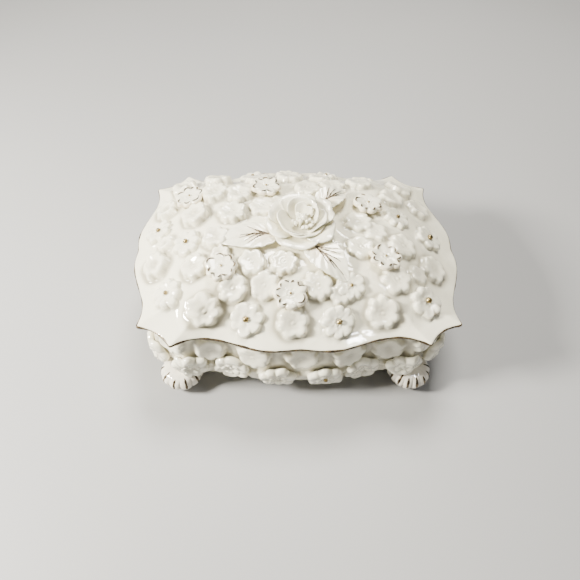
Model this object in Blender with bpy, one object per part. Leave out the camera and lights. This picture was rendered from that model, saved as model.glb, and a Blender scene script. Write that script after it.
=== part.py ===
"""Vanity trinket box: a glazed porcelain box on four bun feet, with a lift-off
pillow lid covered in applied flowers and a rose.

Metres, +Z up. The origin is on the floor under the middle of the box, with +X
along its length and -Y towards the front.
"""
import math

import bpy
import numpy as np
from mathutils import Vector
from mathutils.bvhtree import BVHTree

MM = 0.001

# ---------------------------------------------------------------- dimensions, mm
RIM_Z = 50.0            # underside of the lid's rim
BASE_TOP_Z = 49.7       # the base's mouth, just under the lid's rim
BASE_BOTTOM_Z = 12.0    # underside of the base's floor
BASE_FLOOR_Z = 16.5     # inside face of the base's floor
LID_WALL = 4.0          # porcelain thickness of the lid
BASE_WALL = 4.5         # porcelain thickness of the base's wall
DOME_RISE = 22.8        # lid's crown above its rim, outside
RIM_BAND = 1.5          # height of the lid's bare edge
FLANGE_DEPTH = 4.0      # the lid's locating lip, below its rim
FLANGE_WALL = 2.5
FLANGE_PLAY = 0.9       # between the lip and the base's mouth
FOOT_TOP_Z = 11.7
FOOT_RADIUS = 11.9
FOOT_PAD_RADIUS = 5.0
FOOT_X, FOOT_Y = 64.0, 52.2
APPLIED_GAP = 0.4       # slip joint between an applied piece and what it sits on

# Plan of the lid's edge over one quarter, from the middle of the front to the
# middle of the side, as (distance along X, distance along Y). Two cusps stand
# at each corner with a hollow between them.
FRONT_LOBE = [(0, 66.2), (7, 66.8), (13.5, 67.2), (21, 66.4), (29, 63.9), (37, 61.2),
              (44, 59.7), (50, 59.2), (56, 60.1), (60.5, 61.9), (64.7, 64.2)]
CORNER_HOLLOW = [(64.7, 64.2), (66.6, 61.2), (69.3, 58.0), (73.6, 54.8), (78.2, 53.0),
                 (82.6, 52.0)]
SIDE_LOBE = [(82.6, 52.0), (81.2, 46.8), (80.7, 41.5), (81.6, 35.5), (83.9, 28.5),
             (86.4, 21.5), (88.3, 14.5), (88.9, 9.0), (88.5, 3.5), (88.1, 0)]
SOFTENING = 14.0        # how far the crown's plan rounds off the edge's plan
STEPS_FRONT, STEPS_CORNER, STEPS_SIDE = 8, 3, 7

# Crown's section: share of the way from the middle to the edge, share of the rise.
CROWN = [(0.0, 1.0), (0.15, 0.991), (0.30, 0.965), (0.45, 0.904), (0.60, 0.781),
         (0.75, 0.530), (0.82, 0.360), (0.895, 0.193), (0.95, 0.123), (1.0, 0.066)]

# Base's outer section: height, how far inside the lid's edge, how rounded (0 to 1).
BASE_SECTION = [(BASE_BOTTOM_Z, 9.6, 0.55), (13.3, 7.8, 0.50), (16.0, 6.5, 0.44),
                (21.0, 5.6, 0.37), (28.0, 5.2, 0.30), (36.0, 5.5, 0.24),
                (43.0, 6.4, 0.20), (BASE_TOP_Z, 7.8, 0.18)]

MOUTH_INSET = BASE_SECTION[-1][1] + BASE_WALL
MOUTH_ROUND = 0.45

# Applied flowers on the lid: x, y, radius, height, turn in degrees.
GILT_FLOWERS = [(-59.0, 27.6, 8.6, 3.6, 10), (-16.0, 27.6, 8.4, 3.4, 40),
                (39.6, 13.9, 8.2, 3.4, 25), (-39.0, -30.4, 8.4, 3.4, 0),
                (43.8, -24.6, 8.4, 3.4, 55), (-4.9, -44.6, 8.6, 3.4, 20)]
BEAD_FLOWERS = [(-76.0, 9.5, 7.6, 2.4, 15), (-58.3, -8.4, 7.8, 2.4, 0),
                (-66.5, -37.2, 8.0, 2.4, 30), (-26.5, -52.4, 8.2, 2.4, 50),
                (18.7, -54.3, 8.0, 2.4, 5), (64.3, -42.4, 8.2, 2.4, 20),
                (25.4, -38.9, 7.2, 2.2, 35), (73.6, 1.8, 8.0, 2.4, 45),
                (55.6, 8.6, 7.2, 2.2, 60), (-23.5, 57.0, 7.8, 2.4, 10),
                (21.3, 56.1, 7.8, 2.4, 25)]

# Applied flowers round the base's belly: position along the front or the side,
# and height. The back and the far side repeat them.
BELLY_FRONT = [(-59.2, 23.0), (-34.5, 23.5), (-10.5, 20.5), (15.0, 20.0), (34.5, 22.0),
               (59.8, 23.0)]
BELLY_SIDE = [(-46.0, 25.0), (-22.0, 23.0), (0.0, 22.0), (22.0, 23.0), (46.0, 25.0)]
BELLY_RADIUS = 8.4
BELLY_HEIGHT = 4.0
CORNER_LEAN = 0.45      # the flowers nearest a corner face out a little to their side

ROSE_X, ROSE_Y = 1.8, -3.4
OUTER_PETALS, INNER_PETALS = 5, 4
LID_TRAVEL = 100.0      # the lid lifts clear of the base by this much


# ---------------------------------------------------------------- curves
def catmull_rom(points, steps, before=None, after=None):
    """Points spaced evenly along a smooth curve through the given ones."""
    ends = [np.array(p, float) for p in points]
    first = np.array(before, float) if before else 2 * ends[0] - ends[1]
    last = np.array(after, float) if after else 2 * ends[-1] - ends[-2]
    ends = [first] + ends + [last]
    fine = []
    for p0, p1, p2, p3 in zip(ends, ends[1:], ends[2:], ends[3:]):
        for t in np.linspace(0, 1, 24, endpoint=False):
            fine.append(0.5 * (2 * p1 + (p2 - p0) * t
                               + (2 * p0 - 5 * p1 + 4 * p2 - p3) * t ** 2
                               + (3 * p1 - p0 - 3 * p2 + p3) * t ** 3))
    fine = np.array(fine + [ends[-2]])
    run = np.concatenate([[0], np.cumsum(np.linalg.norm(np.diff(fine, axis=0), axis=1))])
    at = np.linspace(0, run[-1], steps + 1)
    return np.stack([np.interp(at, run, fine[:, i]) for i in (0, 1)], axis=1)


def lid_edge():
    """The lid's whole edge, anticlockwise from the middle of the +X side."""
    front = catmull_rom(FRONT_LOBE, STEPS_FRONT, before=(-7, 66.8))
    corner = catmull_rom(CORNER_HOLLOW, STEPS_CORNER)
    side = catmull_rom(SIDE_LOBE, STEPS_SIDE, after=(88.5, -3.5))
    quarter = np.concatenate([side[::-1][:-1], corner[::-1][:-1], front[::-1]])
    half = np.concatenate([quarter, quarter[:-1][::-1] * [-1, 1]])
    return np.concatenate([half, half[1:-1][::-1] * [1, -1]])


def softened(edge, reach):
    """The same plan with its cusps and hollows rounded off."""
    step = np.linalg.norm(np.roll(edge, -1, axis=0) - edge, axis=1)
    run = np.concatenate([[0], np.cumsum(step)])
    length, run = run[-1], run[:-1]
    apart = run[:, None] - run[None, :]
    apart -= length * np.round(apart / length)
    weight = np.exp(-apart ** 2 / (2 * reach ** 2)) * (step + np.roll(step, 1)) / 2
    return weight @ edge / weight.sum(axis=1, keepdims=True)


EDGE = lid_edge()
SOFT = softened(EDGE, SOFTENING)


def crown_share(t):
    ts, shares = zip(*CROWN)
    fine = catmull_rom(list(zip(ts, shares)), 240)
    return float(np.interp(t, fine[:, 0], fine[:, 1]))


def crown_plan(t):
    edge_share = max(0.0, (t - 0.45) / 0.55) ** 1.6
    return t * ((1 - edge_share) * SOFT + edge_share * EDGE)


def inset_plan(inset, roundness):
    plan = (1 - roundness) * EDGE + roundness * SOFT
    span = np.abs(EDGE).max(axis=0)
    return plan * (1 - inset / span)


# ---------------------------------------------------------------- meshes
def solid(name, points, faces, material, smooth=True, parent=None):
    mesh = bpy.data.meshes.new(name)
    mesh.from_pydata([tuple(c * MM for c in p) for p in points], [], faces)
    mesh.validate()
    mesh.materials.append(material)
    obj = bpy.data.objects.new(name, mesh)
    bpy.context.scene.collection.objects.link(obj)
    if smooth:
        mesh.shade_smooth()
        mesh.set_sharp_from_angle(angle=math.radians(40))
    if parent:
        obj.parent = parent
    return obj


def loft(rings, start, end):
    """A closed skin over rings of equal count, from one end point to the other.
    Each ring runs anticlockwise seen from the end."""
    count = len(rings[0])
    points = [start] + [p for ring in rings for p in ring] + [end]
    faces = [(0, 1 + (i + 1) % count, 1 + i) for i in range(count)]
    for r in range(len(rings) - 1):
        a, b = 1 + r * count, 1 + (r + 1) * count
        for i in range(count):
            j = (i + 1) % count
            faces.append((a + i, a + j, b + j, b + i))
    last = 1 + (len(rings) - 1) * count
    top = len(points) - 1
    faces += [(last + i, last + (i + 1) % count, top) for i in range(count)]
    return points, faces


def ring(plan, z):
    return [(x, y, z) for x, y in plan]


def tree_of(points, faces):
    return BVHTree.FromPolygons([Vector(p) for p in points], faces)


def material(name, colour, roughness, metallic=0.0):
    made = bpy.data.materials.new(name)
    made.use_nodes = True
    shader = made.node_tree.nodes["Principled BSDF"]
    shader.inputs["Base Color"].default_value = (*colour, 1.0)
    shader.inputs["Roughness"].default_value = roughness
    shader.inputs["Metallic"].default_value = metallic
    return made


# ---------------------------------------------------------------- the two shells
OUTSIDE = (1.0, 0.955, 0.905, 0.85, 0.79, 0.72, 0.64, 0.54, 0.42, 0.28, 0.14)


def cutter(name, points, faces):
    guide = solid(name, points, faces, porcelain)
    guide.hide_render = True
    guide.display_type = "WIRE"
    return guide


def lid_shell():
    under = RIM_Z + DOME_RISE * crown_share(0.0) - LID_WALL
    lip_outer = inset_plan(MOUTH_INSET + FLANGE_PLAY, MOUTH_ROUND)
    lip_inner = inset_plan(MOUTH_INSET + FLANGE_PLAY + FLANGE_WALL, MOUTH_ROUND)
    inside = [(0.25, under)]
    for t in (0.45, 0.62, 0.76):
        inside.append((t, RIM_Z + DOME_RISE * crown_share(t + 0.035) - LID_WALL))
    rings = [ring(inset_plan(0, 1) * t * 0.97, z) for t, z in inside]
    rings += [ring(lip_inner, RIM_Z + 0.2), ring(lip_inner, RIM_Z - FLANGE_DEPTH),
              ring(lip_outer, RIM_Z - FLANGE_DEPTH), ring(lip_outer, RIM_Z),
              ring(EDGE, RIM_Z)]
    rings += [ring(crown_plan(t), RIM_Z + DOME_RISE * crown_share(t)) for t in OUTSIDE]
    return loft(rings, (0, 0, under), (0, 0, RIM_Z + DOME_RISE))


def crown_clearance():
    """The lid's outside, a slip joint larger all round, to shape the backs of its flowers."""
    rings = [ring(EDGE * 1.01, RIM_Z - 2.0), ring(EDGE * 1.01, RIM_Z + APPLIED_GAP)]
    rings += [ring(crown_plan(t) * 1.002, RIM_Z + DOME_RISE * crown_share(t) + APPLIED_GAP)
              for t in OUTSIDE]
    return loft(rings, (0, 0, RIM_Z - 2.0), (0, 0, RIM_Z + DOME_RISE + APPLIED_GAP))


def belly_clearance():
    """The base's outside, a slip joint larger all round, to shape the backs of its flowers."""
    z, inset, rounded = BASE_SECTION[0]
    rings = [ring(inset_plan(inset - APPLIED_GAP, rounded), z - APPLIED_GAP)]
    rings += [ring(inset_plan(inset - APPLIED_GAP, rounded), z)
              for z, inset, rounded in BASE_SECTION[1:]]
    return loft(rings, (0, 0, BASE_BOTTOM_Z - APPLIED_GAP), (0, 0, BASE_TOP_Z))


def base_body():
    rings = [ring(inset_plan(0, 1) * 0.5, BASE_BOTTOM_Z)]
    rings += [ring(inset_plan(inset, rounded), z) for z, inset, rounded in BASE_SECTION]
    rings.append(ring(inset_plan(MOUTH_INSET, MOUTH_ROUND), BASE_TOP_Z))
    rings.append(ring(inset_plan(MOUTH_INSET, MOUTH_ROUND), BASE_TOP_Z - FLANGE_DEPTH - 1.5))
    for z, inset, rounded in BASE_SECTION[-3:2:-1]:
        rings.append(ring(inset_plan(inset + BASE_WALL + 1.0, min(1, rounded + 0.25)), z))
    rings.append(ring(inset_plan(15.5, 0.95), BASE_FLOOR_Z))
    rings.append(ring(inset_plan(0, 1) * 0.4, BASE_FLOOR_Z))
    return loft(rings, (0, 0, BASE_BOTTOM_Z), (0, 0, BASE_FLOOR_Z))


# ---------------------------------------------------------------- applied pieces
def on_shell(tree, point, normal, reach=22):
    """Where a line along the normal through this point meets the shell, or the point
    itself past the shell's end."""
    hit = tree.ray_cast(Vector(point) + Vector(normal) * 14, -Vector(normal), reach)[0]
    return hit if hit is not None else Vector(point)


def flower(name, tree, guide, where, normal, radius, height, turn, made_of, parent,
           lobes=6, bead=0.9):
    """A flower pressed on to a shell: it starts inside the shell, which then shapes its back."""
    n = Vector(normal).normalized()
    across = n.orthogonal().normalized()
    up = n.cross(across)
    per_lobe = 2
    count = lobes * per_lobe

    def at(share, lift):
        out = []
        for i in range(count):
            angle = 2 * math.pi * i / count + math.radians(turn)
            r = radius * (1.0 if i % per_lobe else 0.86) * share
            p = Vector(where) + across * (r * math.cos(angle)) + up * (r * math.sin(angle))
            out.append(tuple(on_shell(tree, p, n) + n * (APPLIED_GAP + lift)))
        return out

    middle = on_shell(tree, where, n) + n * APPLIED_GAP
    rings = [at(0.86, -2.6), at(1.0, height * 0.5), at(0.72, height),
             at(0.26, height * 0.62), at(0.2, height * 0.62 + bead)]
    points, faces = loft(rings, tuple(middle - n * 2.6),
                         tuple(middle + n * (height * 0.62 + bead * 1.5)))
    made = solid(name, points, faces, made_of, parent=parent)
    shaped = made.modifiers.new("back", "BOOLEAN")
    shaped.operation = "DIFFERENCE"
    shaped.solver = "EXACT"
    shaped.object = guide
    return made


def petal(name, r_in, r_out, middle, spread, z_in, z_out, bow, thick, made_of, parent):
    """A cupped rose petal: a curved sheet that widens and lifts away from the centre."""
    rows, cols = 4, 5
    upper, lower = [], []
    for j in range(rows):
        t = j / (rows - 1)
        r = r_in + (r_out - r_in) * t
        half = spread / 2 * (0.62 + 0.38 * math.sin(math.pi * min(1.0, t * 0.62 + 0.2)))
        if j == rows - 1:
            half *= 0.72
        z = z_in + (z_out - z_in) * t ** 1.5
        for i in range(cols):
            s = 2 * i / (cols - 1) - 1
            a = math.radians(middle) + s * math.radians(half)
            reach = r * (1 - 0.10 * s * s * t)
            x = ROSE_X + reach * math.cos(a)
            y = ROSE_Y + reach * math.sin(a)
            lift = bow * (1 - s * s) * math.sin(math.pi * t) * -0.5 + bow * s * s * t
            upper.append((x, y, z + lift + thick))
            lower.append((x, y, z + lift))
    return grid_solid(name, lower, upper, rows, cols, made_of, parent)


def grid_solid(name, lower, upper, rows, cols, made_of, parent):
    """A thin closed body between two matching grids of points."""
    n = rows * cols
    faces = []
    for j in range(rows - 1):
        for i in range(cols - 1):
            a, b, c, d = j * cols + i, j * cols + i + 1, (j + 1) * cols + i + 1, (j + 1) * cols + i
            faces.append((n + a, n + d, n + c, n + b))
            faces.append((a, b, c, d))
    rim = [i for i in range(cols)] + [j * cols + cols - 1 for j in range(1, rows)]
    rim += [(rows - 1) * cols + i for i in range(cols - 2, -1, -1)]
    rim += [j * cols for j in range(rows - 2, 0, -1)]
    for a, b in zip(rim, rim[1:] + rim[:1]):
        faces.append((b, a, n + a, n + b))
    points = lower + upper
    turned = signed_volume(points, faces)
    if turned < 0:
        faces = [f[::-1] for f in faces]
    return solid(name, points, faces, made_of, parent=parent)


def signed_volume(points, faces):
    total = 0.0
    for face in faces:
        a = np.array(points[face[0]])
        for p, q in zip(face[1:-1], face[2:]):
            total += float(np.dot(a, np.cross(points[p], points[q]))) / 6
    return total


def leaf(name, tree, root, tip, width, lift, made_of, parent):
    """A leaf laid on the crown, its back following it and its edges a little raised."""
    rows, cols = 7, 5
    root, tip = np.array(root, float), np.array(tip, float)
    along = tip - root
    length = np.linalg.norm(along)
    along /= length
    side = np.array([-along[1], along[0]])
    lower, upper = [], []
    for j in range(rows):
        t = j / (rows - 1)
        half = width / 2 * (math.sin(math.pi * (0.12 + 0.80 * t)) ** 0.8)
        for i in range(cols):
            s = 2 * i / (cols - 1) - 1
            x, y = root + along * length * t + side * half * s
            ground = on_shell(tree, (x, y, RIM_Z + DOME_RISE), (0, 0, 1), 60).z
            rise = lift * (0.35 + 0.65 * s * s) * (1 - 0.5 * t)
            lower.append((x, y, ground + APPLIED_GAP + 0.1))
            upper.append((x, y, ground + APPLIED_GAP + 1.3 + rise))
    return grid_solid(name, lower, upper, rows, cols, made_of, parent)


def foot(name, x, y, made_of):
    """A turned bun foot, flat on the floor and flat against the base."""
    section = [(FOOT_PAD_RADIUS, 0.0), (7.6, 0.7), (9.8, 2.6), (11.0, 5.0), (FOOT_RADIUS, 7.0),
               (10.9, 8.9), (9.2, 10.6), (6.2, FOOT_TOP_Z)]
    count = 20
    rings = [[(x + r * math.cos(2 * math.pi * i / count), y + r * math.sin(2 * math.pi * i / count), z)
              for i in range(count)] for r, z in section]
    points, faces = loft(rings, (x, y, 0.0), (x, y, FOOT_TOP_Z))
    return solid(name, points, faces, made_of)


# ---------------------------------------------------------------- build
for old in list(bpy.data.objects):
    bpy.data.objects.remove(old)

porcelain = material("glazed_porcelain", (0.86, 0.84, 0.79), 0.12)
petal_glaze = material("petal_porcelain", (0.88, 0.86, 0.82), 0.16)
gilt_petal = material("gilt_edged_porcelain", (0.84, 0.79, 0.68), 0.18)
leaf_glaze = material("leaf_porcelain", (0.87, 0.85, 0.79), 0.16)
foot_glaze = material("foot_porcelain", (0.85, 0.82, 0.76), 0.14)

lift = bpy.data.objects.new("lid_lift", None)
bpy.context.scene.collection.objects.link(lift)

lid_points, lid_faces = lid_shell()
solid("lid_shell", lid_points, lid_faces, porcelain, parent=lift)
lid_tree = tree_of(lid_points, lid_faces)
lid_guide = cutter("lid_clearance", *crown_clearance())

base_points, base_faces = base_body()
solid("base_body", base_points, base_faces, porcelain)
base_tree = tree_of(base_points, base_faces)
base_guide = cutter("base_clearance", *belly_clearance())

for place, (sx, sy) in {"front_left": (-1, -1), "front_right": (1, -1),
                        "back_left": (-1, 1), "back_right": (1, 1)}.items():
    foot("foot_" + place, sx * FOOT_X, sy * FOOT_Y, foot_glaze)


def crown_normal(x, y):
    reach = 5.0
    heights = [on_shell(lid_tree, (x + dx, y + dy, RIM_Z + DOME_RISE), (0, 0, 1), 60).z
               for dx, dy in ((reach, 0), (-reach, 0), (0, reach), (0, -reach))]
    return Vector(((heights[1] - heights[0]) / (2 * reach),
                   (heights[3] - heights[2]) / (2 * reach), 1)).normalized()


for group, flowers, made_of, bead in (("gilt_flower", GILT_FLOWERS, gilt_petal, 0.7),
                                      ("lid_flower", BEAD_FLOWERS, petal_glaze, 1.0)):
    for index, (x, y, radius, height, turn) in enumerate(flowers, 1):
        ground = on_shell(lid_tree, (x, y, RIM_Z + DOME_RISE), (0, 0, 1), 60)
        flower(f"{group}_{index}", lid_tree, lid_guide, ground, crown_normal(x, y), radius, height, turn,
               made_of, lift, bead=bead)

for index in range(OUTER_PETALS):
    petal(f"rose_outer_petal_{index + 1}", 7.6, 18.2, 360 * index / OUTER_PETALS + 18, 66,
          RIM_Z + DOME_RISE + 0.6, RIM_Z + DOME_RISE + 5.4, 1.6, 1.8, petal_glaze, lift)
for index in range(INNER_PETALS):
    petal(f"rose_inner_petal_{index + 1}", 5.0, 12.6, 360 * index / INNER_PETALS + 50, 82,
          RIM_Z + DOME_RISE + 5.6, RIM_Z + DOME_RISE + 11.4, 1.0, 1.7, petal_glaze, lift)
heart = [(3.0, 0.5), (4.0, 2.0), (4.1, 7.0), (3.4, 9.4), (2.0, 10.6)]
heart_rings = [[(ROSE_X + r * math.cos(math.pi * i / 7), ROSE_Y + r * math.sin(math.pi * i / 7),
                 RIM_Z + DOME_RISE + z) for i in range(14)] for r, z in heart]
points, faces = loft(heart_rings, (ROSE_X, ROSE_Y, RIM_Z + DOME_RISE + 0.5),
                     (ROSE_X, ROSE_Y, RIM_Z + DOME_RISE + 11.0))
solid("rose_stamens", points, faces, petal_glaze, parent=lift)

leaf("leaf_left", lid_tree, (-17.8, -9.5), (-41.5, -12.0), 15.0, 1.6, leaf_glaze, lift)
leaf("leaf_front_right", lid_tree, (9.6, -18.6), (18.2, -30.0), 13.0, 1.6, leaf_glaze, lift)
leaf("leaf_back_right", lid_tree, (15.5, 15.0), (29.0, 24.5), 12.0, 1.6, leaf_glaze, lift)


def belly_flower(name, origin, towards, turn):
    """A flower on the base's belly, found by looking level at the base from outside."""
    start = Vector(origin)
    point, normal, _, _ = base_tree.ray_cast(start, Vector(towards), 200)
    flower(name, base_tree, base_guide, point, normal, BELLY_RADIUS, BELLY_HEIGHT, turn, petal_glaze, None,
           bead=0.8)


number = 0
for back in (-1, 1):
    for x, z in BELLY_FRONT:
        number += 1
        side = math.copysign(CORNER_LEAN, x) if abs(x) > 55 else 0.0
        towards = Vector((-side, -back, 0)).normalized()
        origin = Vector((x, back * 61, z)) - towards * 60
        belly_flower(f"base_flower_{number}", origin, towards, 23 * number)
for side_sign in (-1, 1):
    for y, z in BELLY_SIDE:
        number += 1
        belly_flower(f"base_flower_{number}", (side_sign * 140, y, z), (-side_sign, 0, 0), 23 * number)
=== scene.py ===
"""Looks for the vanity trinket box: glazed porcelain shells, raised flowers, a rose and worn gilt,
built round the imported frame. Metres in the scene, millimetres inside the shape functions."""
import math

import bpy
import numpy as np
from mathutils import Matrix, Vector
from mathutils.bvhtree import BVHTree


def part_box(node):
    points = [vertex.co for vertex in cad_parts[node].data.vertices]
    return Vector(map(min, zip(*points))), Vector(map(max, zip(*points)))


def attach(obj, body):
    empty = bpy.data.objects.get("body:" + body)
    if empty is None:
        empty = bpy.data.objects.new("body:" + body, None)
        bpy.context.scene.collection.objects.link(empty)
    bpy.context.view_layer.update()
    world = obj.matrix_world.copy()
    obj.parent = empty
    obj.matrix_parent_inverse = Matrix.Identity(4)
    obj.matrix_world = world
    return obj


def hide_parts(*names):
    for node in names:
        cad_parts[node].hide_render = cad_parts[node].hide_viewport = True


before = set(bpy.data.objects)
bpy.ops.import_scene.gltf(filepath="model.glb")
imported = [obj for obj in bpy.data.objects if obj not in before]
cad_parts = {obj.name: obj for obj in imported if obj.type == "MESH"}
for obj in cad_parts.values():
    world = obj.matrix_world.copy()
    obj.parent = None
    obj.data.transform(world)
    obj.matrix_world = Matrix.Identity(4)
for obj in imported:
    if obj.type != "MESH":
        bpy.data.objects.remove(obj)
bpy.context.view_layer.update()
MM = 0.001

# ------------------------------------------------------------------ dimensions, mm
RIM_Z, DOME_RISE = 50.0, 22.8
BASE_TOP_Z, BASE_BOTTOM_Z, BASE_FLOOR_Z = 49.7, 12.0, 16.5
LID_WALL, BASE_WALL, FLANGE_DEPTH, FLANGE_WALL, FLANGE_PLAY = 4.0, 4.5, 4.0, 2.5, 0.9
FRONT_LOBE = [(0, 66.2), (7, 66.8), (13.5, 67.2), (21, 66.4), (29, 63.9), (37, 61.2),
              (44, 59.7), (50, 59.2), (56, 60.1), (60.5, 61.9), (64.7, 64.2)]
CORNER_HOLLOW = [(64.7, 64.2), (66.6, 61.2), (69.3, 58.0), (73.6, 54.8), (78.2, 53.0),
                 (82.6, 52.0)]
SIDE_LOBE = [(82.6, 52.0), (81.2, 46.8), (80.7, 41.5), (81.6, 35.5), (83.9, 28.5),
             (86.4, 21.5), (88.3, 14.5), (88.9, 9.0), (88.5, 3.5), (88.1, 0)]
CROWN = [(0.0, 1.0), (0.15, 0.991), (0.30, 0.965), (0.45, 0.904), (0.60, 0.781),
         (0.75, 0.530), (0.82, 0.360), (0.895, 0.193), (0.95, 0.123), (1.0, 0.066)]
BASE_SECTION = [(BASE_BOTTOM_Z, 9.6, 0.55), (13.3, 7.8, 0.50), (16.0, 6.5, 0.44),
                (21.0, 5.6, 0.37), (28.0, 5.2, 0.30), (36.0, 5.5, 0.24),
                (43.0, 6.4, 0.20), (BASE_TOP_Z, 7.8, 0.18)]
MOUTH_INSET, MOUTH_ROUND = 7.8 + BASE_WALL, 0.45
STEPS_FRONT, STEPS_CORNER, STEPS_SIDE = 66, 26, 66


# ------------------------------------------------------------------ curves
def catmull_rom(points, steps, before=None, after=None, per=24):
    pts = [np.array(p, float) for p in points]
    first = np.array(before, float) if before is not None else 2 * pts[0] - pts[1]
    last = np.array(after, float) if after is not None else 2 * pts[-1] - pts[-2]
    pts = [first] + pts + [last]
    fine = []
    for p0, p1, p2, p3 in zip(pts, pts[1:], pts[2:], pts[3:]):
        t = np.linspace(0, 1, per, endpoint=False)[:, None]
        fine.append(0.5 * (2 * p1 + (p2 - p0) * t + (2 * p0 - 5 * p1 + 4 * p2 - p3) * t ** 2
                           + (3 * p1 - p0 - 3 * p2 + p3) * t ** 3))
    fine = np.concatenate(fine + [pts[-2][None]])
    run = np.concatenate([[0], np.cumsum(np.linalg.norm(np.diff(fine, axis=0), axis=1))])
    at = np.linspace(0, run[-1], steps + 1)
    return np.stack([np.interp(at, run, fine[:, i]) for i in range(fine.shape[1])], axis=1)


def lid_edge():
    front = catmull_rom(FRONT_LOBE, STEPS_FRONT, before=(-7, 66.8))
    corner = catmull_rom(CORNER_HOLLOW, STEPS_CORNER)
    side = catmull_rom(SIDE_LOBE, STEPS_SIDE, after=(88.5, -3.5))
    quarter = np.concatenate([side[::-1][:-1], corner[::-1][:-1], front[::-1]])
    half = np.concatenate([quarter, quarter[:-1][::-1] * [-1, 1]])
    return np.concatenate([half, half[1:-1][::-1] * [1, -1]])


def softened(edge, reach):
    step = np.linalg.norm(np.roll(edge, -1, axis=0) - edge, axis=1)
    run = np.concatenate([[0], np.cumsum(step)])
    length, run = run[-1], run[:-1]
    apart = run[:, None] - run[None, :]
    apart -= length * np.round(apart / length)
    weight = np.exp(-apart ** 2 / (2 * reach ** 2)) * (step + np.roll(step, 1)) / 2
    return weight @ edge / weight.sum(axis=1, keepdims=True)


RAW = lid_edge()
EDGE = softened(RAW, 0.75)
SOFT = softened(RAW, 14.0)
N = len(EDGE)
SPAN = np.abs(RAW).max(axis=0)
_c = catmull_rom(CROWN, 400)


def crown(t):
    return np.interp(t, _c[:, 0], _c[:, 1])


def crown_plan(t):
    share = max(0.0, (t - 0.45) / 0.55) ** 1.6
    return t * ((1 - share) * SOFT + share * EDGE)


def inset_plan(inset, roundness):
    return ((1 - roundness) * EDGE + roundness * SOFT) * (1 - inset / SPAN)


def smooth(x, lo=0.0, hi=1.0):
    x = np.clip((x - lo) / (hi - lo), 0, 1)
    return x * x * (3 - 2 * x)


def smooth_max(a, b, k):
    h = np.clip(0.5 + 0.5 * (a - b) / k, 0, 1)
    return b + (a - b) * h + k * h * (1 - h)


def wobble(P, size, seed, waves=9):
    """Gentle unevenness in three dimensions, about one either way, with bumps of this size in mm."""
    rng = np.random.default_rng(seed)
    out = 0
    for _ in range(waves):
        d = rng.normal(size=3)
        d /= np.linalg.norm(d)
        out = out + np.sin(P @ d * (2 * math.pi / size) * rng.uniform(0.6, 1.5) + rng.uniform(0, 6.28))
    return out / math.sqrt(waves)


# ------------------------------------------------------------------ mesh helpers
def outward(P, F):
    """The faces, turned over if together they enclose less than nothing."""
    F = [tuple(int(i) for i in f) for f in F]
    volume = 0.0
    for size in {len(f) for f in F}:
        rows = np.array([f for f in F if len(f) == size])
        for k in range(1, size - 1):
            volume += np.einsum("ij,ij->", P[rows[:, 0]], np.cross(P[rows[:, k]], P[rows[:, k + 1]]))
    return F if volume > 0 else [f[::-1] for f in F]


def mesh_object(name, P, F, material, body, replaces=(), values=None):
    mesh = bpy.data.meshes.new(name)
    P = np.asarray(P, float) * MM
    mesh.from_pydata(P.tolist(), [], outward(P - P.mean(axis=0), F))
    for key, numbers in (values or {}).items():
        layer = mesh.attributes.new(key, "FLOAT", "POINT")
        layer.data.foreach_set("value", np.asarray(numbers, np.float32))
    mesh.materials.append(material)
    mesh.shade_smooth()
    mesh.validate()
    obj = bpy.data.objects.new(name, mesh)
    bpy.context.scene.collection.objects.link(obj)
    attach(obj, body)
    if replaces:
        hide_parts(*replaces)
    return obj


def loft_faces(count, rings, closed_start=True, closed_end=True):
    """Faces of a skin over rings of equal count: point 0 is the start's, the last the end's."""
    i = np.arange(count)
    j = (i + 1) % count
    faces = []
    if closed_start:
        faces += list(zip([0] * count, 1 + j, 1 + i))
    for r in range(rings - 1):
        a, b = 1 + r * count, 1 + (r + 1) * count
        faces += list(zip(a + i, a + j, b + j, b + i))
    if closed_end:
        last, end = 1 + (rings - 1) * count, 1 + rings * count
        faces += list(zip(last + i, last + j, [end] * count))
    return faces


def grid_normals(P):
    """Unit normals of rings (ring, around, xyz), pointing to the right of growing ring number."""
    around = np.roll(P, -1, axis=1) - np.roll(P, 1, axis=1)
    along = np.gradient(P, axis=0)
    n = np.cross(around, along)
    return n / np.maximum(np.linalg.norm(n, axis=2, keepdims=True), 1e-9)


def tree_of(P, faces):
    return BVHTree.FromPolygons([Vector(p) for p in P], [tuple(int(i) for i in f) for f in faces])


def with_z(plan, z):
    return np.column_stack([plan, np.full(len(plan), z)])


# ------------------------------------------------------------------ materials
def nodes_of(name):
    made = bpy.data.materials.new(name)
    made.use_nodes = True
    tree = made.node_tree
    shader = tree.nodes["Principled BSDF"]
    return made, tree, shader


def link(tree, a, b):
    tree.links.new(a, b)


def noise(tree, coords, scale, detail=3.0, rough=0.5):
    node = tree.nodes.new("ShaderNodeTexNoise")
    node.inputs["Scale"].default_value = scale
    node.inputs["Detail"].default_value = detail
    node.inputs["Roughness"].default_value = rough
    link(tree, coords, node.inputs["Vector"])
    return node.outputs["Fac"]


def ramp(tree, fac, stops):
    node = tree.nodes.new("ShaderNodeValToRGB")
    node.color_ramp.elements[0].position = stops[0][0]
    node.color_ramp.elements[0].color = (*stops[0][1], 1)
    node.color_ramp.elements[1].position = stops[-1][0]
    node.color_ramp.elements[1].color = (*stops[-1][1], 1)
    for at, colour in stops[1:-1]:
        e = node.color_ramp.elements.new(at)
        e.color = (*colour, 1)
    link(tree, fac, node.inputs["Fac"])
    return node.outputs["Color"]


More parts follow.
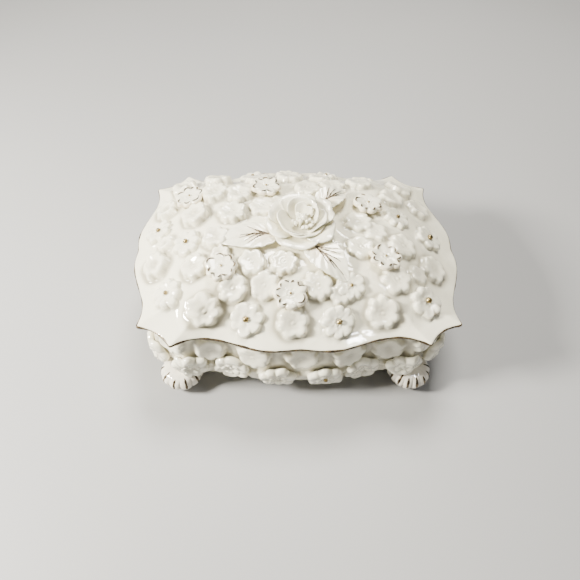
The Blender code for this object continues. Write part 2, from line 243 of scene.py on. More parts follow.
def mix(tree, fac, a, b, kind="MIX"):
    node = tree.nodes.new("ShaderNodeMix")
    node.data_type = "RGBA"
    node.blend_type = kind
    for value, socket in ((fac, node.inputs[0]), (a, node.inputs[6]), (b, node.inputs[7])):
        if isinstance(value, bpy.types.NodeSocket):
            link(tree, value, socket)
        elif isinstance(value, tuple):
            socket.default_value = (*value, 1)
        else:
            socket.default_value = value
    return node.outputs[2]


def maths(tree, kind, a, b=None, clamp=False):
    node = tree.nodes.new("ShaderNodeMath")
    node.operation = kind
    node.use_clamp = clamp
    for value, socket in ((a, node.inputs[0]), (b, node.inputs[1])):
        if value is None:
            continue
        if isinstance(value, bpy.types.NodeSocket):
            link(tree, value, socket)
        else:
            socket.default_value = value
    return node.outputs[0]


def coords_of(tree):
    return tree.nodes.new("ShaderNodeTexCoord").outputs["Object"]


def bump(tree, shader, height, strength, distance):
    node = tree.nodes.new("ShaderNodeBump")
    node.inputs["Strength"].default_value = strength
    node.inputs["Distance"].default_value = distance
    link(tree, height, node.inputs["Height"])
    link(tree, node.outputs["Normal"], shader.inputs["Normal"])


WHITE = (0.87, 0.835, 0.675)
# Green-grey for the glaze's pooling, also used as painted shade in creases, recesses and undercuts.
POOL_AND_SHADE_COLOUR = (0.40, 0.365, 0.27)
GILT_DARK = (0.026, 0.019, 0.011)
GILT_MID = (0.075, 0.052, 0.027)
GILT_LIGHT = (0.27, 0.20, 0.105)


def porcelain(name, white=WHITE, gilt=False, pool_and_shade_weight=0.55, tint=False):
    """White glazed porcelain with pin-prick specks and slow waviness. The glaze is a little green-grey
    where it pools, and the same mix paints shade into creases, recesses and under raised rims.
    With gilt, a painted mask turns it to worn brown-gold lustre."""
    made, tree, shader = nodes_of(name)
    at = coords_of(tree)
    slow = noise(tree, at, 22.0, 2.0)
    cream = ramp(tree, slow, [(0.35, tuple(c * k for c, k in zip(white, (1.0, 0.992, 0.975)))),
                              (0.65, tuple(min(1, c * 1.018) for c in white))])
    # Painted shade mixed with glaze-pool tint: a per-point mask darkens the colour in creases and undercuts.
    pool_and_shade = tree.nodes.new("ShaderNodeAttribute")
    pool_and_shade.attribute_name = "pool_and_shade"
    pool_and_shade_amount = maths(tree, "MULTIPLY", pool_and_shade.outputs["Fac"], pool_and_shade_weight, clamp=True)
    colour = mix(tree, pool_and_shade_amount, cream, POOL_AND_SHADE_COLOUR)
    if tint:
        peach = tree.nodes.new("ShaderNodeAttribute")
        peach.attribute_name = "tint"
        colour = mix(tree, peach.outputs["Fac"], colour, (0.83, 0.70, 0.50))
    speck = ramp(tree, noise(tree, at, 900.0, 1.0), [(0.765, (0, 0, 0)), (0.80, (1, 1, 1))])
    colour = mix(tree, maths(tree, "MULTIPLY", speck, 0.35), colour, (0.42, 0.36, 0.27))
    rough = tree.nodes.new("ShaderNodeMapRange")
    rough.inputs["To Min"].default_value = 0.04
    rough.inputs["To Max"].default_value = 0.11
    link(tree, noise(tree, at, 75.0, 3.0), rough.inputs["Value"])
    rough = rough.outputs["Result"]
    if gilt:
        mask = tree.nodes.new("ShaderNodeAttribute")
        mask.attribute_name = "gilt"
        worn = noise(tree, at, 950.0, 3.0, 0.6)
        edge = maths(tree, "ADD", mask.outputs["Fac"], maths(tree, "MULTIPLY",
                     maths(tree, "SUBTRACT", worn, 0.5), 0.9))
        on = tree.nodes.new("ShaderNodeMapRange")
        on.inputs["From Min"].default_value = 0.42
        on.inputs["From Max"].default_value = 0.60
        link(tree, edge, on.inputs["Value"])
        on = on.outputs["Result"]
        lustre = ramp(tree, noise(tree, at, 420.0, 4.0, 0.6),
                      [(0.30, GILT_DARK), (0.55, GILT_MID), (0.72, GILT_LIGHT)])
        colour = mix(tree, on, colour, lustre)
        link(tree, maths(tree, "MULTIPLY", on, 0.75), shader.inputs["Metallic"])
        rough = maths(tree, "ADD", rough, maths(tree, "MULTIPLY", on, 0.2))
    link(tree, colour, shader.inputs["Base Color"])
    link(tree, rough, shader.inputs["Roughness"])
    shader.inputs["IOR"].default_value = 1.52
    shader.inputs["Subsurface Weight"].default_value = 0.05
    shader.inputs["Subsurface Radius"].default_value = (0.0016, 0.0013, 0.0010)
    shader.inputs["Subsurface Scale"].default_value = 1.0
    shader.inputs["Coat Weight"].default_value = 0.5
    shader.inputs["Coat Roughness"].default_value = 0.025
    ripples = maths(tree, "ADD", noise(tree, at, 130.0, 3.0),
                    maths(tree, "MULTIPLY", noise(tree, at, 900.0, 2.0), 0.12))
    bump(tree, shader, ripples, 0.22, 0.0004)
    return made


def gilt_material(name, dark=GILT_DARK, mid=GILT_MID, light=GILT_LIGHT, metal=0.6):
    """Thin brown-gold lustre, brushed on and worn."""
    made, tree, shader = nodes_of(name)
    at = coords_of(tree)
    patch = noise(tree, at, 380.0, 4.0, 0.6)
    colour = ramp(tree, patch, [(0.28, dark), (0.50, mid), (0.74, light)])
    link(tree, colour, shader.inputs["Base Color"])
    shader.inputs["Metallic"].default_value = metal
    rough = tree.nodes.new("ShaderNodeMapRange")
    rough.inputs["To Min"].default_value = 0.14
    rough.inputs["To Max"].default_value = 0.42
    link(tree, noise(tree, at, 700.0, 3.0), rough.inputs["Value"])
    link(tree, rough.outputs["Result"], shader.inputs["Roughness"])
    shader.inputs["Coat Weight"].default_value = 0.3
    shader.inputs["Coat Roughness"].default_value = 0.08
    bump(tree, shader, noise(tree, at, 1500.0, 2.0), 0.25, 0.0001)
    return made


SHELL = porcelain("glazed porcelain", pool_and_shade_weight=0.85)
PETALS = porcelain("glazed petals", white=(0.87, 0.84, 0.69), pool_and_shade_weight=0.8)
GILDED = porcelain("gilded porcelain", white=(0.87, 0.85, 0.80), gilt=True, pool_and_shade_weight=0.5)
FOOTING = porcelain("foot porcelain", white=(0.84, 0.79, 0.69), gilt=True, pool_and_shade_weight=0.5)
LEAF = porcelain("glazed leaf", white=(0.87, 0.84, 0.69), pool_and_shade_weight=0.6, tint=True)
GOLD = gilt_material("worn gilt line")
BEAD = gilt_material("gilt bead", (0.09, 0.062, 0.022), (0.24, 0.175, 0.070), (0.55, 0.43, 0.21), 0.9)

# ------------------------------------------------------------------ the lid's outer surface
TOP_T = np.concatenate([np.linspace(0.012, 0.93, 126), np.linspace(0.94, 0.994, 8)])
top_rings = np.array([with_z(crown_plan(t), RIM_Z + DOME_RISE * float(crown(t))) for t in TOP_T])
coarse = top_rings[::2, ::2]
_rings, _count = coarse.shape[:2]
LID_TREE = tree_of(np.concatenate([[[0, 0, RIM_Z + DOME_RISE]], coarse.reshape(-1, 3)]),
                   loft_faces(_count, _rings, closed_end=False))


def lid_frame(x, y):
    """Centre, normal and two directions of the lid's surface at this place in plan."""
    def z(px, py):
        hit = LID_TREE.ray_cast(Vector((px, py, 120)), Vector((0, 0, -1)), 100)[0]
        return hit.z if hit is not None else RIM_Z
    r = 3.5
    n = np.array([(z(x - r, y) - z(x + r, y)) / (2 * r), (z(x, y - r) - z(x, y + r)) / (2 * r), 1.0])
    n /= np.linalg.norm(n)
    a = np.cross([0, 1, 0], n)
    a /= np.linalg.norm(a)
    return np.array([x, y, z(x, y)]), n, a, np.cross(n, a)


# ------------------------------------------------------------------ flowers in relief
def outline_of(theta, R, petals, turn, seed, notch=0.15):
    """A hand-pressed flower's outline: radius, place across each petal (-0.5 to 0.5), and its
    petals' own heights, all running smoothly from petal to petal."""
    rng = np.random.default_rng(seed)
    length = rng.uniform(0.92, 1.04, petals)
    tall = rng.uniform(0.86, 1.10, petals)
    p, q = rng.uniform(0, 6.28, 2)
    warp = theta + 0.10 * np.sin(2 * theta + p) + 0.05 * np.sin(3 * theta + q)
    phase = (warp - turn) * petals / (2 * math.pi)
    which = np.round(phase)
    d = phase - which
    i = which.astype(int) % petals
    lobe = 0.6 * np.sqrt(np.clip(1 - (2 * d) ** 2, 0, 1)) + 0.2 * (1 + np.cos(2 * math.pi * d))
    w = np.cos(math.pi * d) ** 2
    beside = (i + np.where(d > 0, 1, -1)) % petals
    share = 0.5 * smooth(np.abs(d), 0.0, 0.5)
    height = tall[i] * (1 - share) + tall[beside] * share
    return R * (1 - notch + notch * lobe) * (length[i] * w + 0.965 * (1 - w)), d, height


def flower_height(r, theta, R, H, petals, turn, seed, dish=0.20, lip=1.6, notch=0.15,
                  button=0.14, heart=0.08, cleft=0.13, inner=0.0):
    """Height in mm of a thick glazed flower, its petals rounded over at the rim."""
    rho, d, tall = outline_of(theta, R, petals, turn, seed, notch)
    edge = np.clip((rho - r + 0.12) / lip, 0, 1)
    edge = (1 - (1 - edge) ** 2.4) ** (1 / 2.4)
    q = r / rho
    spoon = 1 - dish * (1 - smooth(q, 0.16, 0.76))
    dome = 1 + 0.03 * np.cos(2 * math.pi * d) * smooth(q, 0.5, 0.85)
    tall = 0.97 + (tall - 0.97) * smooth(q, 0.15, 0.8)
    apart = (0.5 - np.abs(d)) * 2 * math.pi / petals * r
    groove = 1 - cleft * np.exp(-(apart / 0.80) ** 2) * smooth(q, 0.66, 0.94)
    h = H * tall * edge * spoon * dome * groove
    h = h + heart * H * np.exp(-((q - 0.27) / 0.075) ** 2) * (0.65 + 0.35 * np.cos(theta * 7 + seed))
    h = h - 0.07 * H * np.exp(-((q - 0.16) / 0.06) ** 2)
    if inner:
        # A second, smaller whorl of petals inside the first.
        small, ds, ts = outline_of(theta, 0.50 * R, max(5, petals - 1), turn + 0.5, seed + 1, 0.20)
        step = np.clip((small - r + 0.1) / 1.6, 0, 1)
        step = (1 - (1 - step) ** 2.2) ** (1 / 2.2)
        cut = 1 - 0.5 * np.exp(-((0.5 - np.abs(ds)) * 2 * math.pi / max(5, petals - 1) * r / 0.6) ** 2)
        h = h + inner * ts * step * cut * (0.55 + 0.45 * smooth(r / small, 0.25, 0.7))
    return h + button * H * np.exp(-(r / (0.10 * R)) ** 2), rho, d


def add_relief(P, normals, total, place, R, H, petals, turn, seed, **shape):
    c, n, a, b = place
    away = P - c
    near = np.linalg.norm(away, axis=-1) < R * 1.7
    near &= (normals @ n) > 0.2
    away = away[near]
    A, B = away @ a, away @ b
    r, theta = np.hypot(A, B), np.arctan2(B, A)
    h, rho, _ = flower_height(r, theta, R, H, petals, turn, seed, **shape)
    fillet = 0.17 * H * np.exp(-np.maximum(r - rho, 0) / 0.75) * (r > rho - 1)
    total[near] = smooth_max(total[near], np.maximum(h, fillet), 0.45)


# Moulded flowers of the lid: x, y, radius, height.
LID_RELIEF = [(-75.0, -16.3, 8.3, 1.8), (-47.8, -48.4, 8.6, 1.9), (-3.8, -55.0, 8.4, 1.9),
              (41.4, -49.3, 8.8, 2.0), (-17.5, -39.4, 7.8, 1.7), (9.0, -39.5, 7.8, 1.7),
              (-33.0, -39.6, 7.8, 1.8), (-53.0, -26.0, 7.8, 1.7), (-23.8, -27.0, 7.8, 1.6),
              (-7.7, -27.2, 7.6, 1.6), (49.0, -34.5, 8.0, 1.8), (72.0, -20.5, 8.4, 1.9),
              (32.4, -17.5, 7.8, 1.7), (55.5, -12.5, 8.2, 1.8), (-55.0, 11.2, 8.3, 1.9),
              (-34.4, 8.2, 8.2, 1.8), (-18.4, 12.5, 7.4, 1.5), (33.0, 1.0, 8.0, 1.6),
              (-42.8, -9.5, 7.6, 1.6), (-44.7, 27.5, 7.8, 1.6), (-31.0, 23.8, 7.6, 1.5),
              (-1.9, 43.8, 8.0, 1.8), (7.5, 28.5, 7.8, 1.6), (37.5, 37.2, 8.0, 1.8),
              (64.0, 44.4, 8.2, 1.8), (72.6, 27.5, 8.2, 1.8), (56.0, 27.0, 7.8, 1.8),
              (-73.0, 27.0, 7.6, 1.7), (-43.4, 43.6, 8.2, 1.8), (20.0, -43.0, 5.6, 1.4),
              (-64.0, 44.5, 8.0, 1.8), (-20.5, 43.5, 7.8, 1.6), (22.0, 32.0, 7.6, 1.5),
              (-2.0, 58.5, 7.6, 1.7), (43.5, 53.0, 7.6, 1.7), (-47.0, 55.0, 7.0, 1.5),
              (16.0, 44.0, 6.8, 1.4), (-9.0, 15.0, 6.5, 1.2), (42.0, -5.0, 6.4, 1.3),
              (-70.5, -3.0, 5.6, 1.3), (61.5, -28.5, 6.0, 1.4), (-40.0, -21.0, 5.5, 1.2)]

normals = -grid_normals(top_rings)
total = np.zeros(top_rings.shape[:2])
for k, (x, y, R, H) in enumerate(LID_RELIEF):
    add_relief(top_rings, normals, total, lid_frame(x, y), R, H * (2.5 if x < -30 else 1.8 if x < 25 else 1.55), 6 + k % 2, 1.7 * k, 100 + k,
               dish=0.34 if x < -30 else 0.24)
edge_hold = smooth(1.0 - TOP_T, 0.0, 0.03)[:, None]
calm = 1 - 0.75 * smooth(TOP_T, 0.74, 0.88)[:, None]
total *= edge_hold
uneven = 0.18 * wobble(top_rings, 19.0, 5) + 0.035 * wobble(top_rings, 8.0, 6)
top = top_rings + normals * (total + uneven * edge_hold * calm)[..., None]


def hollow_of(P, count_around=3):
    """Two blurred copies of a ring grid, a little and a lot; how far each point lies below its neighbourhood is the
    second less the first.
    """
    def blur(A, k):
        out = A.copy()
        for _ in range(k):
            out = (out + np.roll(out, 1, axis=1) + np.roll(out, -1, axis=1)
                   + np.concatenate([out[:1], out[:-1]]) + np.concatenate([out[1:], out[-1:]])) / 5
        return out
    return blur(P, 3), blur(P, 14)


# Painted shade with a glaze-pool tint: darker where the lid lies below its neighbourhood, in the creases round and
# between the flowers.
near_mean, far_mean = hollow_of(total)
lid_pool_and_shade = np.clip((far_mean - near_mean) / 0.38, 0, 1)

# Rim, underside and locating lip.
rim = [EDGE * 0.9985, EDGE, EDGE, EDGE * 0.998]
rim_z = [RIM_Z + 1.45, RIM_Z + 1.1, RIM_Z + 0.35, RIM_Z + 0.02]
under = [(plan, z) for plan, z in zip(rim, rim_z)]
lip_outer = inset_plan(MOUTH_INSET + FLANGE_PLAY, MOUTH_ROUND)
lip_inner = inset_plan(MOUTH_INSET + FLANGE_PLAY + FLANGE_WALL, MOUTH_ROUND)
under += [(EDGE * 0.985, RIM_Z), (EDGE * 0.93 + lip_outer * 0.0, RIM_Z),
          (lip_outer * 1.006, RIM_Z), (lip_outer, RIM_Z - 0.6), (lip_outer, RIM_Z - 3.3),
          (lip_outer * 0.994, RIM_Z - 3.95), (lip_inner * 1.008, RIM_Z - FLANGE_DEPTH),
          (lip_inner, RIM_Z - 3.4), (lip_inner, RIM_Z + 0.2)]
crown_top = RIM_Z + DOME_RISE - LID_WALL
for t in (0.80, 0.76, 0.70, 0.64, 0.58, 0.50, 0.42, 0.33, 0.24, 0.14, 0.05):
    z = RIM_Z + DOME_RISE * float(crown(min(1, t + 0.035))) - LID_WALL
    under.append((inset_plan(0, 1) * t * 0.97, max(z, RIM_Z + 0.4)))
under_rings = np.array([with_z(plan, z) for plan, z in under])
P = np.concatenate([[[0, 0, top[0, :, 2].mean()]], top.reshape(-1, 3), under_rings.reshape(-1, 3),
                    [[0, 0, crown_top]]])
pool_and_shade_all = np.concatenate([[0], lid_pool_and_shade.reshape(-1), np.zeros(len(under) * N + 1)])
F = [f[::-1] for f in loft_faces(N, len(top) + len(under))]
lid = mesh_object("lid_porcelain", P, F, SHELL, "lid", ["lid_shell"],
                  {"pool_and_shade": pool_and_shade_all})

# The brown-gold line painted along the lid's lower edge.
def rim_line(name, plan, z, radius, body, sides=8):
    M = len(plan)
    ahead = np.roll(plan, -1, axis=0) - np.roll(plan, 1, axis=0)
    out = np.column_stack([ahead[:, 1], -ahead[:, 0]])
    out /= np.linalg.norm(out, axis=1, keepdims=True)
    centre = with_z(plan, z)
    thick = radius * (1 + 0.22 * wobble(centre, 12.0, 31) + 0.08 * wobble(centre, 4.0, 32))
    thick = np.clip(thick, 0.05, None)
    rings = []
    for k in range(sides):
        ang = 2 * math.pi * k / sides
        rings.append(np.column_stack([plan + out * (math.cos(ang) * thick * 0.55 - 0.10)[:, None],
                                      z + math.sin(ang) * thick]))
    P = np.array(rings).transpose(1, 0, 2).reshape(-1, 3)
    i = np.arange(M)
    j = (i + 1) % M
    F = []
    for k in range(sides):
        l = (k + 1) % sides
        F += list(zip(i * sides + k, j * sides + k, j * sides + l, i * sides + l))
    return mesh_object(name, P, F, GOLD, body)


rim_line("rim_gilt_line", EDGE, RIM_Z + 0.62, 0.82, "lid")


# ------------------------------------------------------------------ raised flowers
def sag_of(tree, c, n, a, b, A, B):
    """How far the shell lies above or below the flower's own plane at these places."""
    out = np.zeros(len(A))
    for k in range(len(A)):
        p = c + a * A[k] + b * B[k]
        hit = tree.ray_cast(Vector(p + n * 12), Vector(-n), 30)[0]
        out[k] = np.nan if hit is None else float(np.dot(np.array(hit) - p, n))
    good = ~np.isnan(out)
    if not good.all():
        index = np.arange(len(out))
        out = np.interp(index, index[good], out[good], period=len(out)) if good.any() else out * 0 - 3
    return np.maximum(out, -4.5)


def raised(name, place, tree, R, H, petals, turn, seed, body, slot, node, material, lift=0.0,
           gilt=False, bead=0.0, drape=1.0, tilt=(0.0, 0.0), per=22, **shape):
    """A flower of its own clay on a shell. With lift its rim stands clear and is undercut;
    without, glaze has run round its foot."""
    c, n, a, b = place
    rng = np.random.default_rng(seed)
    count = petals * per
    theta = np.linspace(0, 2 * math.pi, count, endpoint=False)
    lip = shape.get("lip", 1.6)
    notch = shape.get("notch", 0.15)
    rho, d, _ = outline_of(theta, R, petals, turn, seed, notch)

    def height(r):
        return flower_height(r, theta, R, H, petals, turn, seed, **shape)[0]

    rings, drapes, pool_and_shade_rings = [], [], []
    for s in np.linspace(0.04, 1.0, 20):
        rings.append(((rho - lip) * s, None))
    for e in (2.0, 1.6, 1.2, 0.85, 0.55, 0.3, 0.12, 0.0):
        rings.append((rho - e * lip / 2.4, None))
    # Painted shade with a glaze-pool tint, ring by ring: darker in the clefts between petals and round the flower's
    # centre.
    for r, _ in rings:
        drapes.append(drape)
        q = r / rho
        apart = (0.5 - np.abs(d)) * 2 * math.pi / petals * r
        pool_and_shade_rings.append(0.35 * np.exp(-(apart / 0.7) ** 2) * smooth(q, 0.35, 0.8)
                    + 0.3 * np.exp(-((q - 0.17) / 0.07) ** 2))
    rings = [(r, lift + height(r)) for r, _ in rings]
    rim = rings[-1][1]
    # The low rings' shade values paint shade on the undercut wall beneath a lifted rim, and in the crease round the
    # foot of a flower that sits down.
    if lift:
        low = [(rho - 0.10, rim - 0.22 * H), (rho - 0.45, rim - 0.34 * H), (rho - 1.2, rim * 0 + lift * 0.75),
               (rho * 0.76, rim * 0 + lift * 0.45), (rho * 0.66, rim * 0 - 0.1), (rho * 0.55, rim * 0 - 1.0)]
        shares = [drape, drape, drape, (1 + drape) / 2, 1.0, 1.0]
        shade = [0.1, 0.5, 0.9, 1.0, 1.0, 1.0]
    else:
        low = [(rho + 0.25, rim * 0.35 + 0.06 * H), (rho + 0.75, rim * 0 + 0.07 * H), (rho + 1.3, rim * 0 + 0.015),
               (rho + 1.7, rim * 0 - 0.45), (rho * 0.8, rim * 0 - 1.0), (rho * 0.4, rim * 0 - 1.0)]
        shares, shade = [1.0] * 6, [0.75, 0.5, 0.15, 0, 0, 0]
    rings += low
    drapes += shares
    pool_and_shade_rings += [np.full(count, v) for v in shade]
    points = []
    for index, ((r, h), share) in enumerate(zip(rings, drapes)):
        A, B = r * np.cos(theta), r * np.sin(theta)
        if index % 3 == 0 or index >= len(rings) - 6:
            sag = sag_of(tree, c, n, a, b, A[::2], B[::2])
            sag = np.interp(np.arange(count), np.arange(0, count, 2), sag, period=count)
            for _ in range(3):
                sag = (np.roll(sag, 1) + sag + np.roll(sag, -1)) / 3
        lean = (tilt[0] * A + tilt[1] * B) * (1.0 if index < len(rings) - 2 else 0.0)
        points.append(c + np.outer(A, a) + np.outer(B, b) + np.outer(h + sag * share + lean, n))
    P = np.array(points)
    P += 0.10 * wobble(P, 6.0, seed + 9)[..., None] * n
    all_points = np.concatenate([[P[0].mean(axis=0)], P.reshape(-1, 3), [P[-1].mean(axis=0)]])
    values = {"pool_and_shade": np.concatenate([[0.1], np.array(pool_and_shade_rings).reshape(-1), [1]])}
    if gilt:
        edge = [0.5 * smooth(r / rho, 0.84, 0.99) for r, _ in rings]
        values["tint"] = np.concatenate([[0], np.array(edge).reshape(-1), [0]])
    piece = mesh_object(name, all_points, [f[::-1] for f in loft_faces(count, len(rings))], material,
                        body, [node] if node else [], values)
    middle = P[0].mean(axis=0)
    if bead:
        gold_bead(name + "_bead", middle + n * bead * 0.35, n, bead, body, seed)
    if gilt:
        # Broken arcs brushed round each petal, a little in from its rim.
        lines = []
        for k in range(petals):
            part = [(-0.42, 0.42), (-0.45, -0.02), (0.02, 0.45), (-0.36, 0.36), (-0.44, 0.22)][rng.integers(5)]
            if rng.random() < 0.06:
                continue
            for lo, hi in ([part] if rng.random() < 0.7 else [(-0.44, -0.12), (0.16, 0.44)]):
                where = np.linspace(lo, hi, 18)
                picks = [int(np.argmin(np.abs(d - w) + 10 * (np.round(((theta - turn) * petals / (2 * math.pi)
                         - d)).astype(int) % petals != k))) for w in where]
                line = []
                for w, at in zip(where, picks):
                    share = 0.60 + 0.235 * math.sqrt(max(0, 1 - (2 * w) ** 2))
                    radius = share * rho[at]
                    ring = min(range(len(rings) - 7), key=lambda j: abs(rings[j][0][at] - radius))
                    other = ring + 1 if rings[ring][0][at] < radius else ring - 1
                    f = (radius - rings[ring][0][at]) / (rings[other][0][at] - rings[ring][0][at])
                    line.append(P[ring, at] * (1 - f) + P[other, at] * f)
                lines.append(np.array(line) + n * 0.20)
        vein_lines(name + "_gilt", lines, 0.42, body, seed, offset=0.0, even=True)
    return piece


def vein_lines(name, lines, radius, body, seed, sides=6, offset=0.42, even=False, material=None,
               flat=0.5):
    """Brushed gilt strokes that follow the given paths and thin out towards their ends."""
    P, F = [], []
    for index, line in enumerate(lines):
        line = np.array(line, float)
        line[:, 2] += offset
        for _ in range(2):
            line[1:-1] = (line[:-2] + 2 * line[1:-1] + line[2:]) / 4
        ahead = np.gradient(line, axis=0)
        ahead /= np.maximum(np.linalg.norm(ahead, axis=1, keepdims=True), 1e-9)
        across = np.cross(ahead, [0, 0, 1.0])
        across /= np.maximum(np.linalg.norm(across, axis=1, keepdims=True), 1e-9)
        up = np.cross(across, ahead)
        m = len(line)
        t = np.linspace(0, 1, m)
        wide = radius * (0.35 + 0.75 * np.sin(math.pi * t) ** 0.6 if even else 1.15 - 0.85 * t ** 1.4)
        wide = wide * (1 + 0.25 * wobble(line, 2.6, seed + index))
        start = len(P)
        for i in range(m):
            for q in range(sides):
                w = 2 * math.pi * q / sides
                P.append(line[i] + across[i] * math.cos(w) * max(0.05, wide[i])
                         + up[i] * math.sin(w) * max(0.04, wide[i] * flat))
        for i in range(m - 1):
            for q in range(sides):
                u = (q + 1) % sides
                F.append((start + i * sides + q, start + i * sides + u,
                          start + (i + 1) * sides + u, start + (i + 1) * sides + q))
        F.append(tuple(start + q for q in range(sides))[::-1])
        F.append(tuple(start + (m - 1) * sides + q for q in range(sides)))
    return mesh_object(name, P, F, material or GOLD, body)


def gold_bead(name, at, n, radius, body, seed):
    """A round bead of slip with gilt brushed over it, a little flattened."""
    a = np.cross(n, [0.3, 0.5, 0.8])
    a /= np.linalg.norm(a)
    b = np.cross(n, a)
    rings, count = [], 28
    for k in range(1, 14):
        lat = math.pi * k / 14
        rings.append([at + (a * math.cos(t) + b * math.sin(t)) * radius * math.sin(lat)
                      - n * radius * 0.8 * math.cos(lat)
                      for t in np.linspace(0, 2 * math.pi, count, endpoint=False)])
    P = np.array(rings)
    P += 0.05 * radius * wobble(P, 2.2, seed)[..., None] * (P - at) / radius
    pts = np.concatenate([[at - n * radius * 0.8], P.reshape(-1, 3), [at + n * radius * 0.8]])
    return mesh_object(name, pts, loft_faces(count, len(rings)), BEAD, body)


GILT_FLOWERS = [(-59.0, 27.6, 9.0, 2.7, 10), (-16.0, 27.6, 8.8, 2.6, 40),
                (39.6, 13.9, 8.5, 2.6, 25), (-39.0, -30.4, 8.9, 2.6, 0),
                (43.8, -24.6, 8.8, 2.6, 55), (-4.9, -44.6, 8.9, 2.6, 20)]
BEAD_FLOWERS = [(-76.0, 9.5, 8.3, 2.5, 15, 1.3), (-58.3, -8.4, 8.3, 2.5, 0, 1.35),
                (-66.5, -37.2, 8.8, 2.7, 30, 1.25), (-26.5, -52.4, 8.9, 2.8, 50, 1.55),
                (18.7, -54.3, 8.7, 2.8, 5, 1.45), (64.3, -42.4, 8.9, 2.8, 20, 1.6),
                (25.4, -38.9, 7.8, 2.5, 35, 1.0), (73.6, 1.8, 8.6, 2.6, 45, 1.6),
                (55.6, 8.6, 8.0, 2.5, 60, 1.1), (-23.5, 57.0, 8.3, 2.6, 10, 1.0),
                (21.3, 56.1, 8.3, 2.6, 25, 1.0)]



def level(place, share):
    """The same place with its direction turned this share of the way to straight up."""
    c, n, _, _ = place
    n = n * (1 - share) + np.array([0, 0, share])
    n /= np.linalg.norm(n)
    a = np.cross([0, 1, 0], n)
    a /= np.linalg.norm(a)
    return c, n, a, np.cross(n, a)


for k, (x, y, R, H, turn) in enumerate(GILT_FLOWERS, 1):
    raised(f"gilt_rosette_{k}", level(lid_frame(x, y), 0.55), LID_TREE, R, H, 7, math.radians(turn),
           40 + k, "lid", "gilt_edged_porcelain", f"gilt_flower_{k}", LEAF, lift=2.3, gilt=True,
           bead=0.65, notch=0.15, lip=1.7, drape=0.30, dish=0.24, per=26)
for k, (x, y, R, H, turn, bead) in enumerate(BEAD_FLOWERS, 1):
    raised(f"bead_flower_{k}", lid_frame(x, y), LID_TREE, R, H * (1.2 if x < -30 else 1.0), 7 + k % 2,
           math.radians(turn), 60 + k, "lid", "flower_porcelain", f"lid_flower_{k}", PETALS, bead=bead,
           dish=0.32 if x < -30 else 0.22)


# ------------------------------------------------------------------ the rose
ROSE = np.array([1.8, -3.6, RIM_Z + DOME_RISE])


def sheet(name, top, thick, material, body, replaces=(), values=None):
    """A thin closed piece from a grid of points (row, column, xyz) and its thickness at each."""
    rows, cols = top.shape[:2]
    du = np.gradient(top, axis=1)
    dv = np.gradient(top, axis=0)
    n = np.cross(du, dv)
    n /= np.maximum(np.linalg.norm(n, axis=2, keepdims=True), 1e-9)
    upper = top + n * thick[..., None] / 2
    lower = top - n * thick[..., None] / 2
    P = np.concatenate([upper.reshape(-1, 3), lower.reshape(-1, 3)])
    M = rows * cols
    F = []
    for j in range(rows - 1):
        for i in range(cols - 1):
            q = (j * cols + i, j * cols + i + 1, (j + 1) * cols + i + 1, (j + 1) * cols + i)
            F.append(q)
            F.append(tuple(M + v for v in q[::-1]))
    border = list(range(cols)) + [j * cols + cols - 1 for j in range(1, rows)]
    border += [(rows - 1) * cols + i for i in range(cols - 2, -1, -1)]
    border += [j * cols for j in range(rows - 2, 0, -1)]
    for p, q in zip(border, border[1:] + border[:1]):
        F.append((q, p, M + p, M + q))
    extra = {k: np.concatenate([v.reshape(-1), v.reshape(-1)]) for k, v in (values or {}).items()}
    return mesh_object(name, P, F, material, body, list(replaces), extra)


def rose_petal(name, middle, spread, r0, r1, z0, z1, out, up, roll, seed, nodes=(), ruffle=0.5,
               skew=0.8, cup=0.0, inward=0.0, thick=1.3, rows=30, cols=40):
    """A rose petal: r goes as v**out and z as v**up, its lip rolls over by roll mm, its sides
    are raised by cup mm, and one side passes outside its neighbour's."""
    rng = np.random.default_rng(seed)
    v = np.linspace(0, 1, rows)[:, None]
    s = np.linspace(-1, 1, cols)[None, :]
    f1, f2, f3 = rng.uniform(0, 6.28, 3)
    width = 0.55 + 0.45 * np.sin(math.pi * np.clip(0.10 + 0.62 * v, 0, 1)) ** 0.8
    tip = (1 - np.abs(s) ** 3.6) ** 0.55
    vv = v * (0.72 + 0.28 * tip) + 0.020 * np.sin(s * 4.0 + f1) * v ** 2
    ang = math.radians(middle) + s * math.radians(spread / 2) * width
    lip = np.clip((vv - 0.80) / 0.20, 0, 1.3)
    r = r0 + (r1 - r0) * np.clip(vv, 0, 2) ** out + roll * lip ** 2 * 0.6
    r = r + skew * s * v ** 1.2 - inward * smooth(vv, 0.6, 1.0) * np.abs(s) ** 2
    z = z0 + (z1 - z0) * np.clip(vv, 0, 2) ** up - roll * lip ** 2 * 0.75 + cup * s ** 2 * v
    z = z + ruffle * v ** 2 * (0.45 * np.sin(s * 3.4 + f2) + 0.22 * np.sin(s * 7.5 + f3))
    r = r + ruffle * v ** 2 * (0.50 * np.sin(s * 4.1 + f3) + 0.18 * np.sin(s * 9.0 + f1))
    top = np.stack([ROSE[0] + r * np.cos(ang), ROSE[1] + r * np.sin(ang), ROSE[2] + z + 0 * s], axis=2)
    body = (thick - 0.5 * thick * v ** 2.5 + 0 * s) * (1 - 0.45 * np.abs(s) ** 8)
    # Painted shade with a glaze-pool tint, darker towards each petal's base deep in the rose.
    return sheet(name, top, body, PETALS, "lid", nodes,
                 {"pool_and_shade": 0.75 * (1 - v) ** 1.5 + 0 * s})


outer = [f"rose_outer_petal_{k}" for k in range(1, 6)]
inner = [f"rose_inner_petal_{k}" for k in range(1, 5)]
